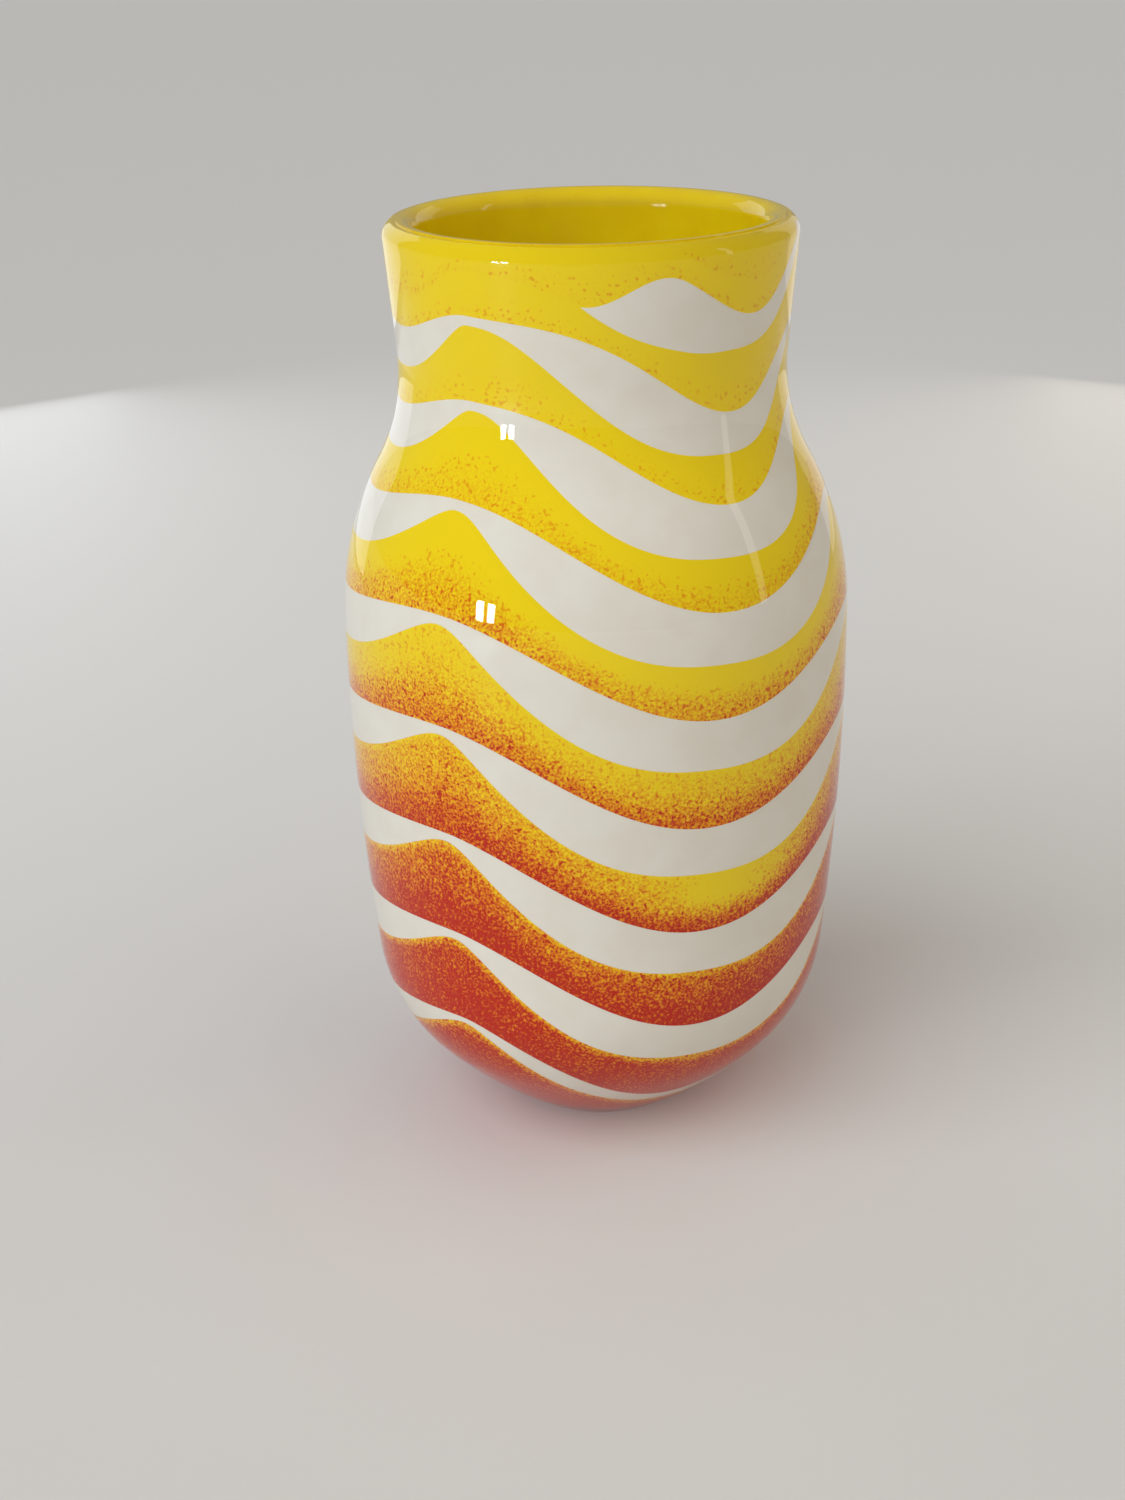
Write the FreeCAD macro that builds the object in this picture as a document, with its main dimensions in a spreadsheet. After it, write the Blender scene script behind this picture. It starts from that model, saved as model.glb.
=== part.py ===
"""Cased art-glass bud vase, built as the four layers of glass that it is blown from.

From the inside out: an opaque yellow lining, a colour coat with an opal-white trail melted flush into it,
and a clear casing. Every layer comes up to the rounded lip. Millimetres, +Z up, the origin in the middle of
the foot, on the plane that the vase stands on. The front of the vase faces -Y.
"""

import FreeCAD, Part
import math
import os
import Sketcher

DRIVING_SIZES = [
    ("total_height", 150.0),
    ("wall_depth", 5.3),
    ("casing_depth", 1.6),
    ("coat_depth", 0.8),
    ("belly_radius", 40.9),
    ("belly_level", 81.5),
    ("belly_bend", 470.0),
    ("belly_fall", 6.4),
    ("belly_rise", 0.8),
    ("turn_bend", 27.0),
    ("turn_sweep", 37.6),
    ("bowl_bend", 98.0),
    ("shoulder_bend", 51.4),
    ("shoulder_sweep", 28.2),
    ("neck_bend", 31.2),
    ("neck_sweep", 34.0),
    ("clear_bottom", 3.0),
    ("floor_level", 9.0),
    ("floor_bend", 12.0),
    ("hollow_radius", 9.0),
    ("hollow_depth", 1.0),
    ("trail_top", 137.2),
    ("trail_pitch", 14.9),
    ("trail_swell", 5.2),
    ("trail_swell_sweep", 280.0),
    ("trail_start", -4.0),
    ("trail_sweep", 3000.0),
    ("trail_width", 4.8),
    ("trail_belly_width", 3.2),
    ("trail_pinch", 1.4),
    ("trail_taper", 30.0),
    ("trail_thinning", 320.0),
    ("tip_drop", 5.0),
    ("tip_lift", 2.4),
    ("tip_sweep", 110.0),
    ("pull_height", 12.7),
    ("pull_angle", -38.0),
    ("upper_skew", 1.3),
    ("lower_skew", 0.7),
    ("pull_rounding", 0.045),
    ("pull_soft_edge", 0.28),
    ("pull_sharp_edge", 0.97),
    ("pull_point", 1.4),
    ("second_upper_sag", 0.7),
    ("third_upper_sag", 0.4),
    ("second_lower_sag", 0.8),
    ("third_lower_sag", 0.6),
]

# How deep in the glass each surface of the wall lies, as the driving sizes that add up to it.
SURFACE = ()
UNDER_CASING = ("casing_depth",)
UNDER_COAT = ("casing_depth", "coat_depth")
CAVITY = ("wall_depth",)

# Points of a sketched arc or line, and the sketch's own origin and axes.
START, END, CENTRE = 1, 2, 3
ORIGIN, RADIUS_AXIS, VASE_AXIS = -1, -1, -2

# The trail is laid out in steps of its winding angle, and its faces are this long. Its ribbon reaches
# from well inside the glass to well outside it, and is never thinner than this in height.
STEP_ANGLE = 7.5
FACE_ANGLE = 120.0
RIBBON_INSIDE = 12.0
RIBBON_OUTSIDE = 50.0
THINNEST_TRAIL = 0.6

# A tool pulled the trail up at this many places round the vase. It sags to its own depth after each.
PULLS = 3

doc = FreeCAD.newDocument("bud_vase")
sheet = doc.addObject("Spreadsheet::Sheet", "Sizes")
for row, (alias, value) in enumerate(DRIVING_SIZES, start=1):
    sheet.set("A%d" % row, alias)
    sheet.set("B%d" % row, str(value))
    sheet.setAlias("B%d" % row, alias)
doc.recompute()


def size(*aliases):
    """The sum of driving sizes, read back from the sheet."""
    return sum(float(sheet.get(alias)) for alias in aliases)


def cells(*aliases):
    """The same sum as an expression that a sketch can be bound to."""
    return " + ".join("Sizes." + alias for alias in aliases) or "0"


# ---- The section of the glass, in the sketch plane ---------------------------------------------

def out_of_glass(degrees):
    """Unit vector out of the glass, tilted up from the radius by this angle."""
    return FreeCAD.Vector(math.cos(math.radians(degrees)), math.sin(math.radians(degrees)), 0)


def arc(centre, radius, first, last):
    """Arc from the first angle counter-clockwise to the last, in degrees."""
    circle = Part.Circle(centre, FreeCAD.Vector(0, 0, 1), radius)
    return Part.ArcOfCircle(circle, math.radians(first), math.radians(last))


def line(first, last):
    return Part.LineSegment(first, last)


def angle_of(vector):
    return math.degrees(math.atan2(vector.y, vector.x))


class Wall:
    """One surface of the wall in a sketch, from its bottom up to the lip.

    Its stretches keep their middles and their sweeps at every depth in the glass. Only the radius changes.
    """

    def __init__(self, sketch, tag, depth, bottom_level, floor_bend=0.0):
        self.sketch = sketch
        self.tag = tag
        self.depth = depth
        self.place(bottom_level, floor_bend)
        self.draw()
        self.constrain()

    def place(self, bottom_level, floor_bend):
        """Work out where each stretch lies, as the solver's starting point."""
        deep = size(*self.depth)
        fall = -size("belly_fall")
        rise = size("belly_rise")
        low = fall - size("turn_sweep")
        lean = rise + size("shoulder_sweep")
        self.flare = lean - size("neck_sweep")
        belly = FreeCAD.Vector(size("belly_radius") - size("belly_bend"), size("belly_level"), 0)
        turn = belly + out_of_glass(fall) * (size("belly_bend") - size("turn_bend"))
        bowl = turn + out_of_glass(low) * (size("turn_bend") - size("bowl_bend"))
        shoulder = belly + out_of_glass(rise) * (size("belly_bend") - size("shoulder_bend"))
        neck = shoulder + out_of_glass(lean) * (size("shoulder_bend") + size("neck_bend"))
        bowl_radius = size("bowl_bend") - deep
        bottom = math.degrees(math.asin((bottom_level - bowl.y) / bowl_radius))
        if floor_bend:
            level = bottom_level + floor_bend
            reach = math.sqrt((bowl_radius - floor_bend) ** 2 - (level - bowl.y) ** 2)
            middle = FreeCAD.Vector(bowl.x + reach, level, 0)
            bottom = angle_of(middle - bowl)
            self.floor_arc = arc(middle, floor_bend, -90, bottom)
        else:
            self.floor_arc = None
        self.stretches = {
            "bowl": arc(bowl, bowl_radius, bottom, low),
            "turn": arc(turn, size("turn_bend") - deep, low, fall),
            "under": arc(belly, size("belly_bend") - deep, fall, 0),
            "over": arc(belly, size("belly_bend") - deep, 0, rise),
            "shoulder": arc(shoulder, size("shoulder_bend") - deep, rise, lean),
            "neck": arc(neck, size("neck_bend") + deep, 180 + self.flare, 180 + lean),
        }
        outward = out_of_glass(self.flare)
        along = FreeCAD.Vector(-outward.y, outward.x, 0)
        start = neck - outward * (size("neck_bend") + deep)
        half_wall = size("wall_depth") / 2
        beside = start - outward * (half_wall - deep)
        rise_to_lip = size("total_height") - half_wall - beside.y
        self.lip = beside + along * (rise_to_lip / along.y)
        reach = math.sqrt(half_wall ** 2 - (half_wall - deep) ** 2)
        top = self.lip + outward * (half_wall - deep) + along * reach
        self.stretches["flare"] = line(start, top)

    def draw(self):
        self.part = {name: self.sketch.addGeometry(shape) for name, shape in self.stretches.items()}
        if self.floor_arc:
            self.part["floor"] = self.sketch.addGeometry(self.floor_arc)

    def bind(self, name, expression, value, *parts):
        bind(self.sketch, self.tag + "_" + name, expression, value, *parts)

    def constrain(self):
        part = self.part
        join = self.sketch.addConstraint
        join(Sketcher.Constraint("Tangent", part["bowl"], END, part["turn"], START))
        join(Sketcher.Constraint("Tangent", part["turn"], END, part["under"], START))
        join(Sketcher.Constraint("Coincident", part["under"], CENTRE, part["over"], CENTRE))
        join(Sketcher.Constraint("Coincident", part["under"], END, part["over"], START))
        join(Sketcher.Constraint("Tangent", part["over"], END, part["shoulder"], START))
        join(Sketcher.Constraint("Tangent", part["shoulder"], END, part["neck"], END))
        join(Sketcher.Constraint("Tangent", part["neck"], START, part["flare"], START))
        if self.floor_arc:
            join(Sketcher.Constraint("Tangent", part["floor"], END, part["bowl"], START))
            self.bind("floor_bend", cells("floor_bend"), size("floor_bend"), "Radius", part["floor"])
        belly = size("belly_level")
        self.bind("level", cells("belly_level"), belly, "DistanceY", ORIGIN, 1, part["under"], END)
        self.bind("middle", cells("belly_level"), belly, "DistanceY", ORIGIN, 1, part["under"], CENTRE)
        self.bind("reach", "Sizes.belly_bend - Sizes.belly_radius", size("belly_bend") - size("belly_radius"),
                  "DistanceX", part["under"], CENTRE, ORIGIN, 1)
        deep = cells(*self.depth)
        for name, bend in (("bowl", "bowl_bend"), ("turn", "turn_bend"),
                           ("under", "belly_bend"), ("shoulder", "shoulder_bend")):
            self.bind(name + "_bend", "Sizes.%s - (%s)" % (bend, deep), size(bend) - size(*self.depth),
                      "Radius", part[name])
        self.bind("neck_bend", "Sizes.neck_bend + " + deep, size("neck_bend") + size(*self.depth),
                  "Radius", part["neck"])
        for name, sweep in (("turn", "turn_sweep"), ("under", "belly_fall"), ("over", "belly_rise"),
                            ("shoulder", "shoulder_sweep"), ("neck", "neck_sweep")):
            self.bind(name + "_sweep", "Sizes.%s * 1 deg" % sweep, math.radians(size(sweep)),
                      "Angle", part[name])


def bind(sketch, name, expression, value, *parts):
    """Add a dimension to a sketch and bind it to the sheet."""
    index = sketch.addConstraint(Sketcher.Constraint(*parts, value))
    sketch.renameConstraint(index, name)
    sketch.setExpression("Constraints." + name, expression)


def draw_lip(sketch, outer, inner):
    """The piece of the half-round lip between two surfaces of the wall."""
    half_wall = size("wall_depth") / 2
    middle = outer.lip
    first = angle_of(outer.stretches["flare"].EndPoint - middle)
    last = angle_of(inner.stretches["flare"].EndPoint - middle) % 360
    lip = sketch.addGeometry(arc(middle, half_wall, first, last))
    bind(sketch, "lip_bend", "Sizes.wall_depth / 2", half_wall, "Radius", lip)
    bind(sketch, "lip_level", "Sizes.total_height - Sizes.wall_depth / 2", size("total_height") - half_wall,
         "DistanceY", ORIGIN, 1, lip, CENTRE)
    kinds = ["Tangent" if wall.depth in (SURFACE, CAVITY) else "Coincident" for wall in (outer, inner)]
    sketch.addConstraint(Sketcher.Constraint(kinds[0], outer.part["flare"], END, lip, START))
    sketch.addConstraint(Sketcher.Constraint(kinds[1], inner.part["flare"], END, lip, END))
    if "Tangent" not in kinds:
        bind(sketch, "lip_reach", "Sizes.wall_depth / 2 - (%s)" % cells(*outer.depth),
             half_wall - size(*outer.depth), "Distance", lip, CENTRE, outer.part["flare"])


def draw_bottom(sketch, wall, name, aliases):
    """A flat bottom at one level, from the vase's axis out to the wall. Returns the line."""
    level = size(*aliases)
    role = "floor" if "floor" in wall.part else "bowl"
    edge = (wall.floor_arc or wall.stretches["bowl"]).StartPoint
    flat = sketch.addGeometry(line(FreeCAD.Vector(0, level, 0), edge))
    sketch.addConstraint(Sketcher.Constraint("PointOnObject", flat, START, VASE_AXIS))
    sketch.addConstraint(Sketcher.Constraint("Horizontal", flat))
    if role == "floor":
        sketch.addConstraint(Sketcher.Constraint("Tangent", flat, END, wall.part[role], START))
    else:
        sketch.addConstraint(Sketcher.Constraint("Coincident", flat, END, wall.part[role], START))
    bind(sketch, name, cells(*aliases), level, "DistanceY", ORIGIN, 1, flat, START)
    return flat


def draw_foot(sketch, wall):
    """The ground foot ring and the polished hollow inside it. Returns the hollow's arc."""
    ring = size("hollow_radius")
    deep = size("hollow_depth")
    bend = (ring ** 2 + deep ** 2) / (2 * deep)
    foot = sketch.addGeometry(line(FreeCAD.Vector(ring, 0, 0), wall.stretches["bowl"].StartPoint))
    first = math.degrees(math.acos(ring / bend))
    hollow = sketch.addGeometry(arc(FreeCAD.Vector(0, deep - bend, 0), bend, first, 90))
    sketch.addConstraint(Sketcher.Constraint("PointOnObject", foot, START, RADIUS_AXIS))
    sketch.addConstraint(Sketcher.Constraint("PointOnObject", foot, END, RADIUS_AXIS))
    sketch.addConstraint(Sketcher.Constraint("Coincident", foot, END, wall.part["bowl"], START))
    sketch.addConstraint(Sketcher.Constraint("Coincident", hollow, START, foot, START))
    sketch.addConstraint(Sketcher.Constraint("PointOnObject", hollow, CENTRE, VASE_AXIS))
    sketch.addConstraint(Sketcher.Constraint("PointOnObject", hollow, END, VASE_AXIS))
    bind(sketch, "hollow_radius", cells("hollow_radius"), ring, "DistanceX", ORIGIN, 1, foot, START)
    bind(sketch, "hollow_depth", cells("hollow_depth"), deep, "DistanceY", ORIGIN, 1, hollow, END)
    return hollow


def close_on_axis(sketch, lower, lower_end, upper):
    """The line along the vase's axis that closes the section."""
    shapes = sketch.Geometry
    first = shapes[lower].EndPoint if lower_end == END else shapes[lower].StartPoint
    axis = sketch.addGeometry(line(first, shapes[upper].StartPoint))
    sketch.addConstraint(Sketcher.Constraint("Coincident", axis, START, lower, lower_end))
    sketch.addConstraint(Sketcher.Constraint("Coincident", axis, END, upper, START))


# ---- The layers as turned bodies ---------------------------------------------------------------

def new_body(name):
    """A body with one sketch on its own upright plane."""
    body = doc.addObject("PartDesign::Body", name)
    sketch = body.newObject("Sketcher::SketchObject", name + "_section")
    upright = [plane for plane in body.Origin.OriginFeatures if plane.Role == "XZ_Plane"][0]
    sketch.AttachmentSupport = (upright, [""])
    sketch.MapMode = "FlatFace"
    return body, sketch


def turn_section(body, sketch):
    """Turn the finished section about the vase's axis."""
    doc.recompute()
    if sketch.solve() != 0 or not sketch.FullyConstrained:
        raise RuntimeError(sketch.Name + " isn't fully constrained")
    turned = body.newObject("PartDesign::Revolution", body.Name + "_turned")
    turned.Profile = sketch
    turned.ReferenceAxis = (sketch, ["V_Axis"])
    turned.Angle = 360
    body.Tip = turned
    doc.recompute()
    return body


def make_casing():
    body, sketch = new_body("casing")
    outer = Wall(sketch, "outer", SURFACE, 0.0)
    inner = Wall(sketch, "inner", UNDER_CASING, size("clear_bottom"))
    draw_lip(sketch, outer, inner)
    hollow = draw_foot(sketch, outer)
    flat = draw_bottom(sketch, inner, "clear_bottom", ("clear_bottom",))
    close_on_axis(sketch, hollow, END, flat)
    return turn_section(body, sketch)


def make_coat():
    """The whole colour coat, before the trail is melted into it."""
    body, sketch = new_body("coat")
    outer = Wall(sketch, "outer", UNDER_CASING, size("clear_bottom"))
    inner = Wall(sketch, "inner", UNDER_COAT, size("clear_bottom", "coat_depth"))
    draw_lip(sketch, outer, inner)
    low = draw_bottom(sketch, outer, "coat_bottom", ("clear_bottom",))
    high = draw_bottom(sketch, inner, "coat_top", ("clear_bottom", "coat_depth"))
    close_on_axis(sketch, low, START, high)
    return turn_section(body, sketch)


def make_lining():
    body, sketch = new_body("lining")
    outer = Wall(sketch, "outer", UNDER_COAT, size("clear_bottom", "coat_depth"))
    inner = Wall(sketch, "inner", CAVITY, size("floor_level"), size("floor_bend"))
    draw_lip(sketch, outer, inner)
    low = draw_bottom(sketch, outer, "lining_bottom", ("clear_bottom", "coat_depth"))
    high = draw_bottom(sketch, inner, "floor_level", ("floor_level",))
    close_on_axis(sketch, low, START, high)
    return turn_section(body, sketch)


# ---- The trail ---------------------------------------------------------------------------------

def pull_shape(share, soft):
    """How far a tool pull lifts the trail at this share of the way from one pull to the next.

    It is 1 at a pull and 0 halfway. The softer of the two mixed shapes makes a crest, the other a point.
    """
    rounding = size("pull_rounding")
    near = math.hypot(min(share, 1 - share), rounding) - rounding
    near *= 0.5 / (math.hypot(0.5, rounding) - rounding)
    pointed = (1 - math.sin(math.pi * near)) ** size("pull_point")
    crest = 0.5 + 0.5 * math.cos(2 * math.pi * near)
    return soft * pointed + (1 - soft) * crest


def pull_lift(angle, done, edge, soft):
    """How far one edge of the trail is lifted here, from 0 to 1.

    After each pull the edge is drawn out the more, the nearer the neck, and sags to a depth of its own.
    """
    pulls_passed = (angle - size("pull_angle")) * PULLS / 360.0
    share = (pulls_passed % 1.0) ** (1 + size(edge + "_skew") * (1 - done) ** 4)
    sags = (1.0, size("second_%s_sag" % edge), size("third_%s_sag" % edge))
    return 1 - sags[math.floor(pulls_passed) % PULLS] * (1 - pull_shape(share, soft))


def tip_fade(angle):
    """How full the trail is near its tip: 0 at the tip and 1 past the taper."""
    return math.sin(math.pi / 2 * min((angle - size("trail_start")) / size("trail_taper"), 1.0))


def middle_level(angle, done):
    """The level of the trail's lowest line here, before the pulls lift it."""
    swell = size("trail_swell") * math.sin(math.radians(size("trail_swell_sweep")) * done)
    from_tip = min((angle - size("trail_start")) / size("tip_sweep"), 1.0)
    tip = size("tip_lift") * math.sin(math.pi * from_tip) ** 2 - size("tip_drop") * (1 - tip_fade(angle) ** 2)
    return size("trail_top") - size("trail_pitch") * angle / 360.0 + swell + tip


def trail_edges(angle):
    """Heights of the trail's upper and lower edge after winding down through this angle."""
    done = (angle - size("trail_start")) / size("trail_sweep")
    middle = middle_level(angle, done)
    width = size("trail_width") + size("trail_belly_width") * math.sin(math.pi * done)
    lift = size("pull_height")
    lower_lift = lift + width - size("trail_pinch")
    upper = middle + lift * pull_lift(angle, done, "upper", size("pull_soft_edge"))
    lower = middle - width + lower_lift * pull_lift(angle, done, "lower", size("pull_sharp_edge"))
    return upper, lower


def faded_edges(angle):
    """The same two heights, drawn together to a taper at the tip and, more slowly, at the lower end."""
    upper, lower = trail_edges(angle)
    end_fade = math.sin(math.pi / 2 * min((trail_end() - angle) / size("trail_thinning"), 1.0))
    half = max((upper - lower) / 2 * tip_fade(angle) * end_fade, THINNEST_TRAIL / 2)
    middle = (upper + lower) / 2
    return middle + half, middle - half


def trail_end():
    """The winding angle where the trail ends."""
    return size("trail_start") + size("trail_sweep")


def winding_point(angle, radius, level):
    turn = math.radians(angle)
    return FreeCAD.Vector(radius * math.sin(turn), -radius * math.cos(turn), level)


def smooth_edge(angles, points):
    """A curve through the points, with the winding angle as its parameter."""
    curve = Part.BSplineCurve()
    curve.interpolate(Points=points, Parameters=angles)
    return curve


def stretch_of(curve, first, last):
    """The stretch of a curve between two winding angles."""
    piece = curve.copy()
    piece.segment(first, last)
    return piece


def straight_between(first, second):
    """The face of straight lines that join two curves at equal winding angles."""
    surface = Part.BSplineSurface()
    poles = [list(pair) for pair in zip(first.getPoles(), second.getPoles())]
    surface.buildFromPolesMultsKnots(poles, first.getMultiplicities(), (2, 2), first.getKnots(), (0.0, 1.0),
                                     False, False, first.Degree, 1)
    return surface.toShape()


def make_ribbon():
    """A thick ribbon with level radial sides, whose cut through the coat is the trail."""
    steps = round(size("trail_sweep") / STEP_ANGLE)
    angles = [size("trail_start") + STEP_ANGLE * step for step in range(steps + 1)]
    levels = [faded_edges(angle) for angle in angles]
    around = [(0, RIBBON_INSIDE), (0, RIBBON_OUTSIDE), (1, RIBBON_OUTSIDE), (1, RIBBON_INSIDE)]
    curves = []
    for side, radius in around:
        points = [winding_point(angle, radius, level[side]) for angle, level in zip(angles, levels)]
        curves.append(smooth_edge(angles, points))
    faces = []
    for number in range(round(size("trail_sweep") / FACE_ANGLE)):
        first = size("trail_start") + FACE_ANGLE * number
        edges = [stretch_of(curve, first, first + FACE_ANGLE) for curve in curves]
        faces += [straight_between(one, other) for one, other in zip(edges, edges[1:] + edges[:1])]
    for end in (0, -1):
        points = [winding_point(angles[end], radius, levels[end][side]) for side, radius in around]
        faces.append(Part.Face(Part.makePolygon(points + points[:1])))
    shell = Part.makeShell(faces)
    shell.sewShape()
    ribbon = doc.addObject("Part::Feature", "ribbon")
    ribbon.Shape = Part.makeSolid(shell)
    return ribbon


def part_of_coat(kind, name, coat, ribbon):
    piece = doc.addObject(kind, name)
    piece.Base = coat
    piece.Tool = ribbon
    doc.recompute()
    return piece


# ---- Build, check, write -----------------------------------------------------------------------

def check_and_write(nodes):
    for thing in doc.Objects:
        if "Invalid" in thing.State or "Error" in thing.State:
            raise RuntimeError(thing.Name + " failed: " + str(thing.State))
    for node in nodes:
        if node.Shape.isNull() or not node.Shape.isValid() or len(node.Shape.Solids) != 1:
            raise RuntimeError(node.Name + " isn't one valid solid")
    os.makedirs("parts", exist_ok=True)
    for node in nodes:
        node.Shape.exportStep("parts/" + node.Label + ".step")
        print(node.Label, round(node.Shape.Volume, 1), node.Shape.BoundBox)


casing = make_casing()
coat = make_coat()
lining = make_lining()
ribbon = make_ribbon()
white_trail = part_of_coat("Part::Common", "white_trail", coat, ribbon)
colour_coat = part_of_coat("Part::Cut", "colour_coat", coat, ribbon)
check_and_write([lining, colour_coat, white_trail, casing])
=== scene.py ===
"""Cased art-glass bud vase: the visual model and its studio.

Shapes are worked out in millimetres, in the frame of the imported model, and written to meshes in metres.
A winding angle counts degrees down the trail from the front of the vase, and grows to the right.
"""

import math

import bmesh
import bpy
import numpy as np
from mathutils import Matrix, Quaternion, Vector


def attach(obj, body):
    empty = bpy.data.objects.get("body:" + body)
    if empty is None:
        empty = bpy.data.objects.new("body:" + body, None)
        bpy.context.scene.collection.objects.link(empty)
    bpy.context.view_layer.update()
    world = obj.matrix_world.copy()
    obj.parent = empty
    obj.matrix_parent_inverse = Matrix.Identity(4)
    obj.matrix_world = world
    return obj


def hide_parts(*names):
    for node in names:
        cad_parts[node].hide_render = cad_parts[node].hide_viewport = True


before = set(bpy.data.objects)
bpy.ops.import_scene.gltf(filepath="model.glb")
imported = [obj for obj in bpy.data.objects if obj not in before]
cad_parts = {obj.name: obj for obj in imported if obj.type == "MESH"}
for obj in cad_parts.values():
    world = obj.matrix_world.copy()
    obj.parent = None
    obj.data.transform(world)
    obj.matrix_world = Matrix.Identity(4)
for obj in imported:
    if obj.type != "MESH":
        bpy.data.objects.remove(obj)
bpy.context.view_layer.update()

MM = 0.001

# ---- The section of the glass, in millimetres and degrees ---------------------------------------

HEIGHT = 150.0
WALL = 5.3
CASING = 1.6
COAT = 0.8
BELLY_RADIUS = 40.9
BELLY_LEVEL = 81.5
BELLY_BEND = 470.0
BELLY_FALL = 6.4
BELLY_RISE = 0.8
TURN_BEND = 27.0
TURN_SWEEP = 37.6
BOWL_BEND = 98.0
SHOULDER_BEND = 51.4
SHOULDER_SWEEP = 28.2
NECK_BEND = 31.2
NECK_SWEEP = 34.0
CLEAR_BOTTOM = 3.0
FLOOR_LEVEL = 9.0
FLOOR_BEND = 12.0
HOLLOW_RADIUS = 9.0
HOLLOW_DEPTH = 1.0

# The spacing of points along the section and round the lip, and how many there are round and on the bottom.
SPACING = 0.8
LIP_SPACING = 0.25
SIDES = 288
BOTTOM_POINTS = 20

# ---- The trail -----------------------------------------------------------------------------------

TRAIL_TOP = 137.2
TRAIL_PITCH = 14.9
TRAIL_SWELL = 5.2
TRAIL_SWELL_SWEEP = 280.0
TRAIL_START = -4.0
TRAIL_SWEEP = 3000.0
TRAIL_END = TRAIL_START + TRAIL_SWEEP
TRAIL_WIDTH = 4.8
TRAIL_BELLY_WIDTH = 3.2
TRAIL_PINCH = 1.4
TRAIL_TAPER = 30.0
TRAIL_THINNING = 320.0
TIP_DROP = 5.0
TIP_LIFT = 2.4
TIP_SWEEP = 110.0
PULLS = 3
PULL_HEIGHT = 12.7
PULL_ANGLE = -38.0
UPPER_SKEW = 1.3
LOWER_SKEW = 0.7
PULL_ROUNDING = 0.045
PULL_SOFT_EDGE = 0.28
PULL_SHARP_EDGE = 0.97
PULL_POINT = 1.4
UPPER_SAGS = np.array([1.0, 0.7, 0.4])
LOWER_SAGS = np.array([1.0, 0.8, 0.6])


def unit(degrees):
    """Unit vector in the section plane, tilted up from the radius."""
    angle = np.radians(degrees)
    return np.stack([np.cos(angle), np.sin(angle)], axis=-1)


def arc_points(middle, radius, first, last, spacing=SPACING):
    """Points along an arc of the section, a spacing apart."""
    count = max(3, int(abs(radius * math.radians(last - first)) / spacing))
    angles = np.linspace(first, last, count)
    return middle + radius * unit(angles)


def wall_section(depth, bottom_level, floor_bend=0.0):
    """The wall surface this deep in the glass, from its bottom edge up to the lip, and the lip's middle."""
    fall = -BELLY_FALL
    low = fall - TURN_SWEEP
    lean = BELLY_RISE + SHOULDER_SWEEP
    flare = lean - NECK_SWEEP
    belly = np.array([BELLY_RADIUS - BELLY_BEND, BELLY_LEVEL])
    turn = belly + unit(fall) * (BELLY_BEND - TURN_BEND)
    bowl = turn + unit(low) * (TURN_BEND - BOWL_BEND)
    shoulder = belly + unit(BELLY_RISE) * (BELLY_BEND - SHOULDER_BEND)
    neck = shoulder + unit(lean) * (SHOULDER_BEND + NECK_BEND)
    bowl_radius = BOWL_BEND - depth
    bottom = math.degrees(math.asin((bottom_level - bowl[1]) / bowl_radius))
    stretches = []
    if floor_bend:
        level = bottom_level + floor_bend
        reach = math.sqrt((bowl_radius - floor_bend) ** 2 - (level - bowl[1]) ** 2)
        middle = np.array([bowl[0] + reach, level])
        bottom = math.degrees(math.atan2(level - bowl[1], reach))
        stretches.append(arc_points(middle, floor_bend, -90, bottom))
    stretches.append(arc_points(bowl, bowl_radius, bottom, low))
    stretches.append(arc_points(turn, TURN_BEND - depth, low, fall))
    stretches.append(arc_points(belly, BELLY_BEND - depth, fall, BELLY_RISE))
    stretches.append(arc_points(shoulder, SHOULDER_BEND - depth, BELLY_RISE, lean))
    stretches.append(arc_points(neck, NECK_BEND + depth, 180 + lean, 180 + flare))
    outward = unit(flare)
    along = np.array([-outward[1], outward[0]])
    half_wall = WALL / 2
    start = stretches[-1][-1]
    beside = start - outward * (half_wall - depth)
    lip = beside + along * ((HEIGHT - half_wall - beside[1]) / along[1])
    top = lip + outward * (half_wall - depth) + along * math.sqrt(half_wall ** 2 - (half_wall - depth) ** 2)
    count = int(np.linalg.norm(top - start) / SPACING)
    stretches.append(start + (top - start) * np.linspace(0, 1, count)[:, None])
    points = [stretches[0]] + [stretch[1:] for stretch in stretches[1:]]
    return np.concatenate(points), lip


def lip_arc(lip, first_point, last_point):
    """The half-round lip between two points on it, over the top."""
    first = math.degrees(math.atan2(*(first_point - lip)[::-1]))
    last = math.degrees(math.atan2(*(last_point - lip)[::-1]))
    if last < first:
        last += 360
    return arc_points(lip, WALL / 2, first, last, LIP_SPACING)


# ---- Meshes --------------------------------------------------------------------------------------

def new_object(name, points, faces, *materials):
    """A smooth mesh object from points in millimetres."""
    mesh = bpy.data.meshes.new(name)
    mesh.from_pydata((np.asarray(points) * MM).tolist(), [], faces)
    for material in materials:
        mesh.materials.append(material)
    mesh.update()
    mesh.shade_smooth()
    thing = bpy.data.objects.new(name, mesh)
    bpy.context.scene.collection.objects.link(thing)
    return thing


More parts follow.
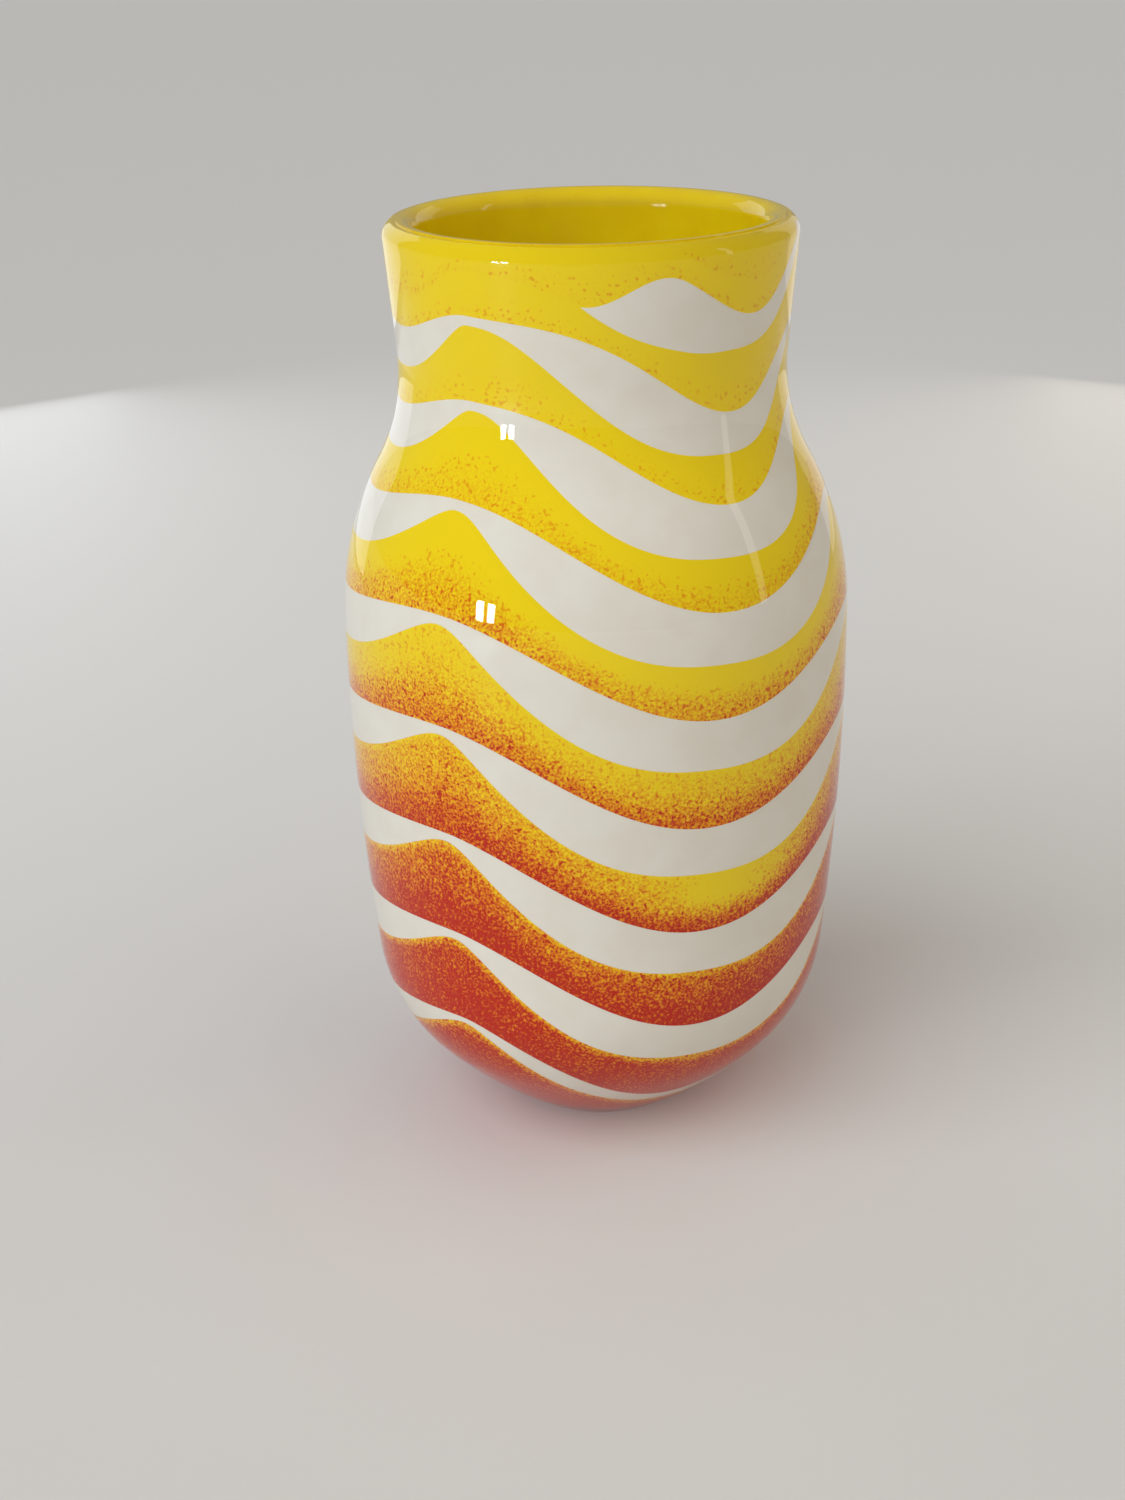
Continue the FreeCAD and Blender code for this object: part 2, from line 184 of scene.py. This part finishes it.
def turned(name, section, material):
    """A section from axis to axis, anticlockwise round the glass, turned about the vase's axis."""
    around = np.radians(np.arange(SIDES) * 360.0 / SIDES)
    radius = section[1:-1, 0][:, None]
    level = np.broadcast_to(section[1:-1, 1][:, None], (len(section) - 2, SIDES))
    rings = np.stack([radius * np.sin(around), -radius * np.cos(around), level], axis=-1).reshape(-1, 3)
    points = np.concatenate([[[0, 0, section[0][1]]], rings, [[0, 0, section[-1][1]]]])
    last_ring = 1 + SIDES * (len(section) - 3)
    faces = []
    for one in range(SIDES):
        other = (one + 1) % SIDES
        faces.append((0, 1 + one, 1 + other)[::-1])
        faces.append((last_ring + one, last_ring + other, len(points) - 1))
        for base in range(1, last_ring, SIDES):
            faces.append((base + one, base + other, base + SIDES + other, base + SIDES + one))
    return new_object(name, points, faces, material)


# ---- The trail's edges ---------------------------------------------------------------------------

def trail_done(angle):
    """How much of the trail has been wound by this angle, from 0 to 1."""
    return np.clip((angle - TRAIL_START) / TRAIL_SWEEP, 0.0, 1.0)


def pulls_passed(angle):
    """How many tool pulls the trail has passed."""
    return (angle - PULL_ANGLE) * PULLS / 360.0


def pull_shape(share, softness):
    """How far a pull lifts the trail at this share of the way to the next: 1 at a pull and 0 halfway."""
    near = np.hypot(np.minimum(share, 1 - share), PULL_ROUNDING) - PULL_ROUNDING
    near = near * 0.5 / (math.hypot(0.5, PULL_ROUNDING) - PULL_ROUNDING)
    pointed = (1 - np.sin(np.pi * near)) ** PULL_POINT
    crest = 0.5 + 0.5 * np.cos(2 * np.pi * near)
    return softness * pointed + (1 - softness) * crest


def pull_lift(angle, skew, sags, softness):
    """How far one edge of the trail is lifted at these winding angles, from 0 to 1.

    After each pull the edge is drawn out the more, the nearer the neck, and sags to a depth of its own.
    """
    passed = pulls_passed(angle)
    share = (passed % 1.0) ** (1 + skew * (1 - trail_done(angle)) ** 4)
    sag = sags[np.floor(passed).astype(int) % PULLS]
    return 1 - sag * (1 - pull_shape(share, softness))


def trail_edges(angle):
    """Heights of the trail's upper and lower edge at these winding angles. They meet past its ends."""
    done = trail_done(angle)
    tip_fade = np.sin(np.pi / 2 * np.clip((angle - TRAIL_START) / TRAIL_TAPER, 0.0, 1.0))
    end_fade = np.sin(np.pi / 2 * np.clip((TRAIL_END - angle) / TRAIL_THINNING, 0.0, 1.0))
    swell = TRAIL_SWELL * np.sin(math.radians(TRAIL_SWELL_SWEEP) * done)
    tip = TIP_LIFT * np.sin(np.pi * np.clip((angle - TRAIL_START) / TIP_SWEEP, 0.0, 1.0)) ** 2
    middle = TRAIL_TOP - TRAIL_PITCH * angle / 360.0 + swell + tip - TIP_DROP * (1 - tip_fade ** 2)
    width = TRAIL_WIDTH + TRAIL_BELLY_WIDTH * np.sin(np.pi * done)
    lower_lift = PULL_HEIGHT + width - TRAIL_PINCH
    upper = middle + PULL_HEIGHT * pull_lift(angle, UPPER_SKEW, UPPER_SAGS, PULL_SOFT_EDGE)
    lower = middle - width + lower_lift * pull_lift(angle, LOWER_SKEW, LOWER_SAGS, PULL_SHARP_EDGE)
    half = (upper - lower) / 2 * tip_fade * end_fade
    centre = (upper + lower) / 2
    return centre + half, centre - half


# ---- The coat and the trail, on one surface ------------------------------------------------------

# Below the wall's bottom edge, a trail that would be 1 mm lower lies this much further in, in millimetres.
UNDER_STRETCH = 2.0
# Corners whose places agree to this many digits after the point are made one.
MERGE_DIGITS = 4
# A point this near the end of the section lies on the lip, in millimetres.
TOUCH = 1e-6
# Edges that turn by more degrees than this are shaded as corners.
SHARP_CORNER = 40.0


class CoatSurface:
    """The coat's outer surface, measured along its section from the axis out and up to the lip."""

    def __init__(self):
        wall, _ = wall_section(CASING, CLEAR_BOTTOM)
        flat = np.linspace([0.0, CLEAR_BOTTOM], wall[0], BOTTOM_POINTS)[:-1]
        self.section = np.concatenate([flat, wall])
        steps = np.linalg.norm(np.diff(self.section, axis=0), axis=1)
        self.along = np.concatenate([[0.0], np.cumsum(steps)])
        self.wall_levels = wall[:, 1]
        self.wall_along = self.along[len(flat):]
        tangent = np.gradient(self.section, self.along, axis=0)
        tangent /= np.linalg.norm(tangent, axis=1)[:, None]
        self.outward = np.stack([tangent[:, 1], -tangent[:, 0]], axis=-1)

    def distance(self, level):
        """Distance along the section of a height on the wall. Under the wall it runs in to the axis."""
        on_wall = np.interp(level, self.wall_levels, self.wall_along)
        under = self.wall_along[0] - (self.wall_levels[0] - level) * UNDER_STRETCH
        return np.clip(np.where(level < self.wall_levels[0], under, on_wall), 0.0, self.along[-1])

    def level(self, distance):
        """Height of the surface at this distance along the section."""
        return np.interp(distance, self.along, self.section[:, 1])

    def points(self, angle, distance, inward):
        """Points at these winding angles and distances, moved this far into the glass."""
        radius = np.interp(distance, self.along, self.section[:, 0])
        radius = radius - inward * np.interp(distance, self.along, self.outward[:, 0])
        level = self.level(distance) - inward * np.interp(distance, self.along, self.outward[:, 1])
        radius = np.where(distance <= 0.0, 0.0, radius)
        turn = np.radians(angle)
        return np.stack([radius * np.sin(turn), -radius * np.cos(turn), level], axis=-1)


def open_edges(faces):
    """The directed edges that only one face has."""
    edges = set()
    for face in faces:
        edges.update(zip(face, face[1:] + face[:1]))
    return [(one, other) for one, other in edges if (other, one) not in edges]


def grid_faces(rows, columns, corner):
    """Faces of a grid whose equal corners have been made one. Collapsed faces are left out."""
    faces = []
    for row in range(rows - 1):
        for column in range(columns - 1):
            first = row * columns + column
            around = [corner[i] for i in (first, first + columns, first + columns + 1, first + 1)]
            face = tuple(point for i, point in enumerate(around) if point != around[i - 1])
            if len(set(face)) >= 3:
                faces.append(face)
    return faces


def layer_piece(name, surface, angles, distances, heat, lip_material, material):
    """One piece of the coat's layer: a grid on the outer surface, closed through the coat's depth."""
    rows, columns = distances.shape
    every_angle = np.broadcast_to(angles, distances.shape).ravel()
    outer = surface.points(every_angle, distances.ravel(), 0.0)
    inner = surface.points(every_angle, distances.ravel(), COAT)
    rounded = np.round(outer, MERGE_DIGITS)
    _, kept, corner = np.unique(rounded, axis=0, return_index=True, return_inverse=True)
    faces = grid_faces(rows, columns, corner.ravel().tolist())
    count = len(kept)
    sides = [(other, one, one + count, other + count) for one, other in sorted(open_edges(faces))]
    backs = [tuple(point + count for point in face[::-1]) for face in faces]
    points = np.concatenate([outer[kept], inner[kept]])
    piece = new_object(name, points, faces + backs + sides, material, lip_material)
    attribute = piece.data.attributes.new("powder_heat", "FLOAT", "POINT")
    attribute.data.foreach_set("value", np.tile(heat.ravel()[kept], 2).astype(np.float32))
    at_lip = distances.ravel()[kept] >= surface.along[-1] - TOUCH
    for number, (one, other, *_) in enumerate(sides, start=2 * len(faces)):
        if at_lip[one] and at_lip[other]:
            piece.data.polygons[number].material_index = 1
    sharpen(piece)
    return piece


def sharpen(piece):
    """Marks the edges where the surface turns a corner, so that shading stays crisp there."""
    mesh = bmesh.new()
    mesh.from_mesh(piece.data)
    for edge in mesh.edges:
        if len(edge.link_faces) == 2 and edge.calc_face_angle(0.0) > math.radians(SHARP_CORNER):
            edge.smooth = False
    mesh.to_mesh(piece.data)
    mesh.free()


# ---- The heat of the powder, from yellow at 0 to red at 1 ------------------------------------------

# The turns over which the top and the bottom of a stripe warm up, and the ends of their heat.
TOP_WARMS = (3.1, 7.5)
TOP_HOTTEST = 0.9
BOTTOM_WARMS = (1.0, 6.2)
BOTTOM_COOLEST = 0.05
# How much of a cool stripe stays yellow under the trail, and where its gradient ends.
COOL_SHARE = 0.25
WARM_SHARE = 1.05
# The thin, cooler halo right under the trail.
HALO_HEAT = 0.35
HALO_SHARE = 0.14
# A patch of clear yellow in one stripe.
PATCH_ANGLE = 1830.0
PATCH_REACH = 24.0
PATCH_SHARE = 0.15
# The degrees past the trail's end in which the stripes become plain.
END_FADE = 90.0

# The grid of the coat and the trail: degrees from column to column, and rows from edge to edge.
STEP = 1.5
COAT_ROWS = 14
TRAIL_ROWS = 6
# The coat starts this many degrees above the trail's tip, and ends this many below its lower end.
COAT_ABOVE = 720.0
COAT_BELOW = 1080.0


def smooth_step(value, low, high):
    """0 below the low value, 1 above the high one, and a soft rise between them."""
    share = np.clip((value - low) / (high - low), 0.0, 1.0)
    return share * share * (3 - 2 * share)


def coat_heat(angle, share):
    """How far the powder has gone from yellow, at 0, to red, at 1.

    It grows from turn to turn, and down each stripe from the yellow halo that lies under the trail.
    """
    turns = angle / 360.0
    patch = np.exp(-((angle - PATCH_ANGLE) / PATCH_REACH) ** 2)
    top = TOP_HOTTEST * smooth_step(turns, *TOP_WARMS) * (1 - patch)
    bottom = BOTTOM_COOLEST + (1 - BOTTOM_COOLEST) * smooth_step(turns, *BOTTOM_WARMS)
    cool_share = COOL_SHARE * (1 - top) + PATCH_SHARE * patch
    inside = smooth_step(share, cool_share, WARM_SHARE)
    past_end = np.clip((angle - TRAIL_END) / END_FADE, 0.0, 1.0)
    inside = inside * (1 - past_end) + past_end
    halo = HALO_HEAT + (1 - HALO_HEAT) * smooth_step(share, 0.0, HALO_SHARE)
    return (top + (bottom - top) * inside) * (halo * (1 - past_end) + past_end)


def make_coat(surface, material, lip_material):
    """Stripes of colour, each from the trail's lower edge to its upper edge one turn further down."""
    angles = np.arange(TRAIL_START - COAT_ABOVE, TRAIL_END + COAT_BELOW + STEP / 2, STEP)
    top = surface.distance(trail_edges(angles)[1])
    bottom = surface.distance(trail_edges(angles + 360.0)[0])
    share = np.linspace(0, 1, COAT_ROWS + 1)[:, None]
    distances = top * (1 - share) + bottom * share
    heat = coat_heat(angles[None, :], share)
    return layer_piece("colour_coat_glass", surface, angles, distances, heat, lip_material, material)


def make_trail(surface, material, lip_material):
    """The white trail, from its upper to its lower edge."""
    angles = np.arange(TRAIL_START, TRAIL_END + STEP / 2, STEP)
    upper, lower = trail_edges(angles)
    share = np.linspace(0, 1, TRAIL_ROWS + 1)[:, None]
    distances = surface.distance(upper) * (1 - share) + surface.distance(lower) * share
    heat = np.broadcast_to(share, distances.shape)
    return layer_piece("white_trail_glass", surface, angles, distances, heat, lip_material, material)


# ---- The lining and the casing -------------------------------------------------------------------

def make_lining(material):
    """The yellow bubble: the cavity's wall and floor, and the inner half of the lip."""
    outer, lip = wall_section(CASING + COAT, CLEAR_BOTTOM + COAT)
    inner, _ = wall_section(WALL, FLOOR_LEVEL, FLOOR_BEND)
    over = lip_arc(lip, outer[-1], inner[-1])
    section = np.concatenate([[[0, outer[0][1]]], outer, over[1:-1], inner[::-1], [[0, FLOOR_LEVEL]]])
    piece = turned("lining_glass", section, material)
    sharpen(piece)
    return piece


# The casing's inside reaches this far into the coat, so that no film of air shows between them.
BOND = 0.03


def make_casing(material):
    """The clear glass over everything, with the outer half of the lip and the ground foot."""
    outer, lip = wall_section(0.0, 0.0)
    inner, _ = wall_section(CASING, CLEAR_BOTTOM)
    over = lip_arc(lip, outer[-1], inner[-1])
    bend = (HOLLOW_RADIUS ** 2 + HOLLOW_DEPTH ** 2) / (2 * HOLLOW_DEPTH)
    edge = math.degrees(math.acos(HOLLOW_RADIUS / bend))
    hollow = arc_points(np.array([0.0, HOLLOW_DEPTH - bend]), bend, 90, edge)
    inner = inner[::-1] - [BOND, 0.0]
    section = np.concatenate([hollow, outer, over[1:-1], inner, [[0, CLEAR_BOTTOM + BOND]]])
    piece = turned("casing_glass", section, material)
    sharpen(piece)
    return piece


# ---- Materials -----------------------------------------------------------------------------------

def new_material(name):
    """A material, its nodes and links, and its shader."""
    material = bpy.data.materials.new(name)
    material.use_nodes = True
    nodes = material.node_tree.nodes
    return material, nodes, material.node_tree.links, nodes["Principled BSDF"]


def grain(nodes, links, size_mm, detail):
    """Noise in the vase's own space, with grains about this many millimetres across."""
    place = nodes.new("ShaderNodeTexCoord")
    noise = nodes.new("ShaderNodeTexNoise")
    noise.inputs["Scale"].default_value = 1.0 / (size_mm * MM)
    noise.inputs["Detail"].default_value = detail
    links.new(place.outputs["Object"], noise.inputs["Vector"])
    return noise


def colour_stops(nodes, stops):
    """A colour ramp with these places and colours."""
    ramp = nodes.new("ShaderNodeValToRGB")
    ramp.color_ramp.interpolation = "EASE"
    while len(ramp.color_ramp.elements) < len(stops):
        ramp.color_ramp.elements.new(0.5)
    for element, (place, colour) in zip(ramp.color_ramp.elements, stops):
        element.position = place
        element.color = (*colour, 1.0)
    return ramp


def maths(nodes, links, operation, one, other):
    """The output of one operation on two values, each a plain number or another node's output."""
    node = nodes.new("ShaderNodeMath")
    node.operation = operation
    for number, value in enumerate((one, other)):
        if isinstance(value, (int, float)):
            node.inputs[number].default_value = value
        else:
            links.new(value, node.inputs[number])
    return node.outputs[0]


YELLOW = (0.80, 0.58, 0.004)
AMBER = (0.74, 0.36, 0.002)
ORANGE = (0.64, 0.135, 0.001)
RED = (0.45, 0.013, 0.002)
DARK_YELLOW = (0.76, 0.53, 0.004)
OPAL = (0.69, 0.64, 0.545)
LIGHT_OPAL = (0.71, 0.67, 0.585)

# Where each colour stands on the heat's scale.
AMBER_HEAT = 0.34
ORANGE_HEAT = 0.66
RED_HEAT = 0.93

# The powder's grains: their sizes in millimetres, and how strongly they move the heat.
FINE_GRAIN = 0.42
FINE_SPREAD = 1.9
CLOUD_GRAIN = 3.5
CLOUD_DRIFT = 0.3
SPECK_GRAIN = 0.6
SPECK_LEVEL = 0.64
SPECK_STRENGTH = 3.5
# How fast grains and specks come in as the heat leaves 0, and the most that a place can reach.
GRAIN_SLOPE = 4.0
SPECK_SLOPE = 20.0
MOST_SLOPE = 1.7
MOST_AT_ZERO = 0.26

# Clouds in the opal and in the yellow, in millimetres.
# The low and high values are the noise levels of their two colours.
OPAL_GRAIN = 6.0
YELLOW_GRAIN = 7.0
CLOUD_LOW = 0.3
CLOUD_HIGH = 0.7

COAT_ROUGHNESS = 0.35
POLISHED_ROUGHNESS = 0.06
POLISHED_IOR = 1.5
CLEAR_IOR = 1.43
RIPPLE_GRAIN = 9.0
RIPPLE_STRENGTH = 0.25
RIPPLE_DEPTH = 0.2


def coat_material():
    """Powder melted in: red specks in the yellow at low heat, yellow specks in the red at high heat."""
    material, nodes, links, shader = new_material("coat_glass")
    heat = nodes.new("ShaderNodeAttribute")
    heat.attribute_name = "powder_heat"
    here = heat.outputs["Fac"]
    fine = grain(nodes, links, FINE_GRAIN, 2.0).outputs["Fac"]
    cloud = grain(nodes, links, CLOUD_GRAIN, 3.0).outputs["Fac"]
    speck = grain(nodes, links, SPECK_GRAIN, 0.0).outputs["Fac"]

    def step(operation, one, other):
        return maths(nodes, links, operation, one, other)

    spread = step("MULTIPLY", step("SUBTRACT", fine, 0.5), FINE_SPREAD)
    drift = step("MULTIPLY", step("SUBTRACT", cloud, 0.5), CLOUD_DRIFT)
    held = step("MINIMUM", step("MULTIPLY", here, GRAIN_SLOPE), 1.0)
    loose = step("MULTIPLY", step("ADD", spread, drift), held)
    peak = step("MAXIMUM", step("SUBTRACT", speck, SPECK_LEVEL), 0.0)
    sparse = step("MINIMUM", step("MULTIPLY", here, SPECK_SLOPE), 1.0)
    single = step("MULTIPLY", step("MULTIPLY", peak, SPECK_STRENGTH), sparse)
    total = step("ADD", step("ADD", here, loose), single)
    most = step("ADD", step("MULTIPLY", here, MOST_SLOPE), MOST_AT_ZERO)
    total = step("MINIMUM", total, most)
    stops = [(0.0, YELLOW), (AMBER_HEAT, AMBER), (ORANGE_HEAT, ORANGE), (RED_HEAT, RED)]
    ramp = colour_stops(nodes, stops)
    links.new(total, ramp.inputs["Fac"])
    links.new(ramp.outputs["Color"], shader.inputs["Base Color"])
    shader.inputs["Roughness"].default_value = COAT_ROUGHNESS
    shader.inputs["Specular IOR Level"].default_value = 0.0
    return material


def trail_material():
    """Opal white with faint streaks."""
    material, nodes, links, shader = new_material("opal_glass")
    cloud = grain(nodes, links, OPAL_GRAIN, 3.0)
    ramp = colour_stops(nodes, [(CLOUD_LOW, OPAL), (CLOUD_HIGH, LIGHT_OPAL)])
    links.new(cloud.outputs["Fac"], ramp.inputs["Fac"])
    links.new(ramp.outputs["Color"], shader.inputs["Base Color"])
    shader.inputs["Roughness"].default_value = COAT_ROUGHNESS
    shader.inputs["Specular IOR Level"].default_value = 0.0
    return material


def yellow_material(name):
    """Opaque yellow glass with a fire-polished surface."""
    material, nodes, links, shader = new_material(name)
    cloud = grain(nodes, links, YELLOW_GRAIN, 3.0)
    ramp = colour_stops(nodes, [(CLOUD_LOW, DARK_YELLOW), (CLOUD_HIGH, YELLOW)])
    links.new(cloud.outputs["Fac"], ramp.inputs["Fac"])
    links.new(ramp.outputs["Color"], shader.inputs["Base Color"])
    shader.inputs["Roughness"].default_value = POLISHED_ROUGHNESS
    shader.inputs["IOR"].default_value = POLISHED_IOR
    return material


def clear_material():
    """Clear glass that lets lamp light through to the colours under it."""
    material, nodes, links, shader = new_material("clear_glass")
    shader.inputs["Base Color"].default_value = (1.0, 1.0, 1.0, 1.0)
    shader.inputs["Transmission Weight"].default_value = 1.0
    shader.inputs["Roughness"].default_value = 0.0
    shader.inputs["IOR"].default_value = CLEAR_IOR
    ripple = grain(nodes, links, RIPPLE_GRAIN, 1.0)
    bump = nodes.new("ShaderNodeBump")
    bump.inputs["Strength"].default_value = RIPPLE_STRENGTH
    bump.inputs["Distance"].default_value = RIPPLE_DEPTH * MM
    links.new(ripple.outputs["Fac"], bump.inputs["Height"])
    links.new(bump.outputs["Normal"], shader.inputs["Normal"])
    path = nodes.new("ShaderNodeLightPath")
    open_air = nodes.new("ShaderNodeBsdfTransparent")
    mix = nodes.new("ShaderNodeMixShader")
    unseen = maths(nodes, links, "MAXIMUM", path.outputs["Is Shadow Ray"], path.outputs["Is Diffuse Ray"])
    links.new(unseen, mix.inputs[0])
    links.new(shader.outputs[0], mix.inputs[1])
    links.new(open_air.outputs[0], mix.inputs[2])
    links.new(mix.outputs[0], nodes["Material Output"].inputs["Surface"])
    return material


# ---- The studio ----------------------------------------------------------------------------------

FLOOR_REACH = 20000.0
FLOOR_SIDES = 64
FLOOR_COLOUR = (0.72, 0.70, 0.67, 1.0)
FLOOR_ROUGHNESS = 0.6
ROOM_COLOUR = (0.90, 0.91, 0.93, 1.0)
ROOM_LIGHT = 0.28
ROOM_SEEN = 0.60
WINDOW_COLOUR = (0.93, 0.97, 1.0)
WINDOW_SIZE = (0.06, 0.11)
WINDOW_POWER = 0.9

CAMERA_LEFT = 5.9
CAMERA_DISTANCE = 351.3
CAMERA_RISE = 51.9
CAMERA_DIP = 21.8
CAMERA_ROLL = -1.14
LENS = 54.1
SENSOR_WIDTH = 36.0


def make_floor():
    """A wide, pale disc at the height of the foot."""
    material, nodes, links, shader = new_material("studio_floor")
    shader.inputs["Base Color"].default_value = FLOOR_COLOUR
    shader.inputs["Roughness"].default_value = FLOOR_ROUGHNESS
    turn = 2 * math.pi / FLOOR_SIDES
    corners = range(FLOOR_SIDES)
    points = [(FLOOR_REACH * math.cos(turn * i), FLOOR_REACH * math.sin(turn * i), 0.0) for i in corners]
    floor = new_object("studio_floor", points, [tuple(corners)], material)


def aimed_lamp(name, kind, place, power, colour):
    """A lamp that points at the middle of the vase."""
    lamp = bpy.data.lights.new(name, kind)
    lamp.energy = power
    lamp.color = colour
    thing = bpy.data.objects.new(name, lamp)
    thing.location = place
    aim = Vector((0.0, 0.0, HEIGHT * MM / 2)) - thing.location
    thing.rotation_euler = aim.to_track_quat("-Z", "Y").to_euler()
    bpy.context.scene.collection.objects.link(thing)
    return thing


def soft_sky(name, place, power, colour, spread):
    """Even, far-off light, too soft to mirror in the glass."""
    thing = aimed_lamp(name, "SUN", place, power, colour)
    thing.data.angle = math.radians(spread)
    thing.visible_glossy = False


def panel(name, place, size, power, colour):
    """A bright pane or panel that mirrors in the glass and that the camera doesn't see."""
    thing = aimed_lamp(name, "AREA", place, power, colour)
    thing.data.shape = "RECTANGLE"
    thing.data.size, thing.data.size_y = size
    thing.visible_camera = False


def make_lights():
    """A cool sky, a warm fill, the two panes of a window, a tall strip, and a panel behind each edge."""
    soft_sky("key", (-0.8, -0.8, 1.0), 1.95, (0.90, 0.95, 1.0), 60.0)
    soft_sky("fill", (1.0, -0.3, 0.8), 0.75, (1.0, 0.86, 0.68), 80.0)
    panel("pane_left", (-0.80, -0.62, 0.15), WINDOW_SIZE, WINDOW_POWER, WINDOW_COLOUR)
    panel("pane_right", (-0.74, -0.69, 0.15), WINDOW_SIZE, WINDOW_POWER, WINDOW_COLOUR)
    panel("strip", (0.88, -0.20, 0.35), (0.07, 0.60), 0.22, (1.0, 0.95, 0.85))
    panel("left_edge", (-0.29, 0.41, 0.22), (0.34, 0.44), 0.36, (0.88, 0.94, 1.0))
    panel("right_edge", (0.27, 0.43, 0.22), (0.26, 0.44), 0.18, (1.0, 0.92, 0.80))


def make_room():
    """An even glow all round. Seen directly, it is brighter than the light that it gives."""
    world = bpy.data.worlds.new("studio")
    world.use_nodes = True
    nodes = world.node_tree.nodes
    background = nodes["Background"]
    background.inputs["Color"].default_value = ROOM_COLOUR
    ray = nodes.new("ShaderNodeLightPath")
    level = nodes.new("ShaderNodeMapRange")
    level.inputs["To Min"].default_value = ROOM_LIGHT
    level.inputs["To Max"].default_value = ROOM_SEEN
    world.node_tree.links.new(ray.outputs["Is Camera Ray"], level.inputs["Value"])
    world.node_tree.links.new(level.outputs["Result"], background.inputs["Strength"])
    bpy.context.scene.world = world


def make_camera():
    """The view: a little above the lip, looking down at the vase, with a slight roll."""
    lens = bpy.data.cameras.new("camera")
    lens.sensor_width = SENSOR_WIDTH
    lens.lens = LENS
    camera = bpy.data.objects.new("camera", lens)
    camera.location = Vector((-CAMERA_LEFT, -CAMERA_DISTANCE, HEIGHT + CAMERA_RISE)) * MM
    pitch = math.radians(90 - CAMERA_DIP)
    camera.rotation_mode = "QUATERNION"
    level = Vector((0, 0, -1)).rotation_difference(Vector((0, math.sin(pitch), -math.cos(pitch))))
    camera.rotation_quaternion = level @ Quaternion((0, 0, 1), math.radians(CAMERA_ROLL))
    bpy.context.scene.collection.objects.link(camera)
    bpy.context.scene.camera = camera


def place(piece, node, slot):
    """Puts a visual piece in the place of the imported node."""
    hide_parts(node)
    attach(piece, "root")


surface = CoatSurface()
polished_yellow = yellow_material("yellow_glass")
place(make_lining(polished_yellow), "lining", "yellow_glass")
place(make_coat(surface, coat_material(), polished_yellow), "colour_coat", "colour_glass")
place(make_trail(surface, trail_material(), polished_yellow), "white_trail", "opal_glass")
place(make_casing(clear_material()), "casing", "clear_glass")
make_floor()
make_lights()
make_room()
make_camera()
bpy.context.scene.view_settings.view_transform = "Standard"
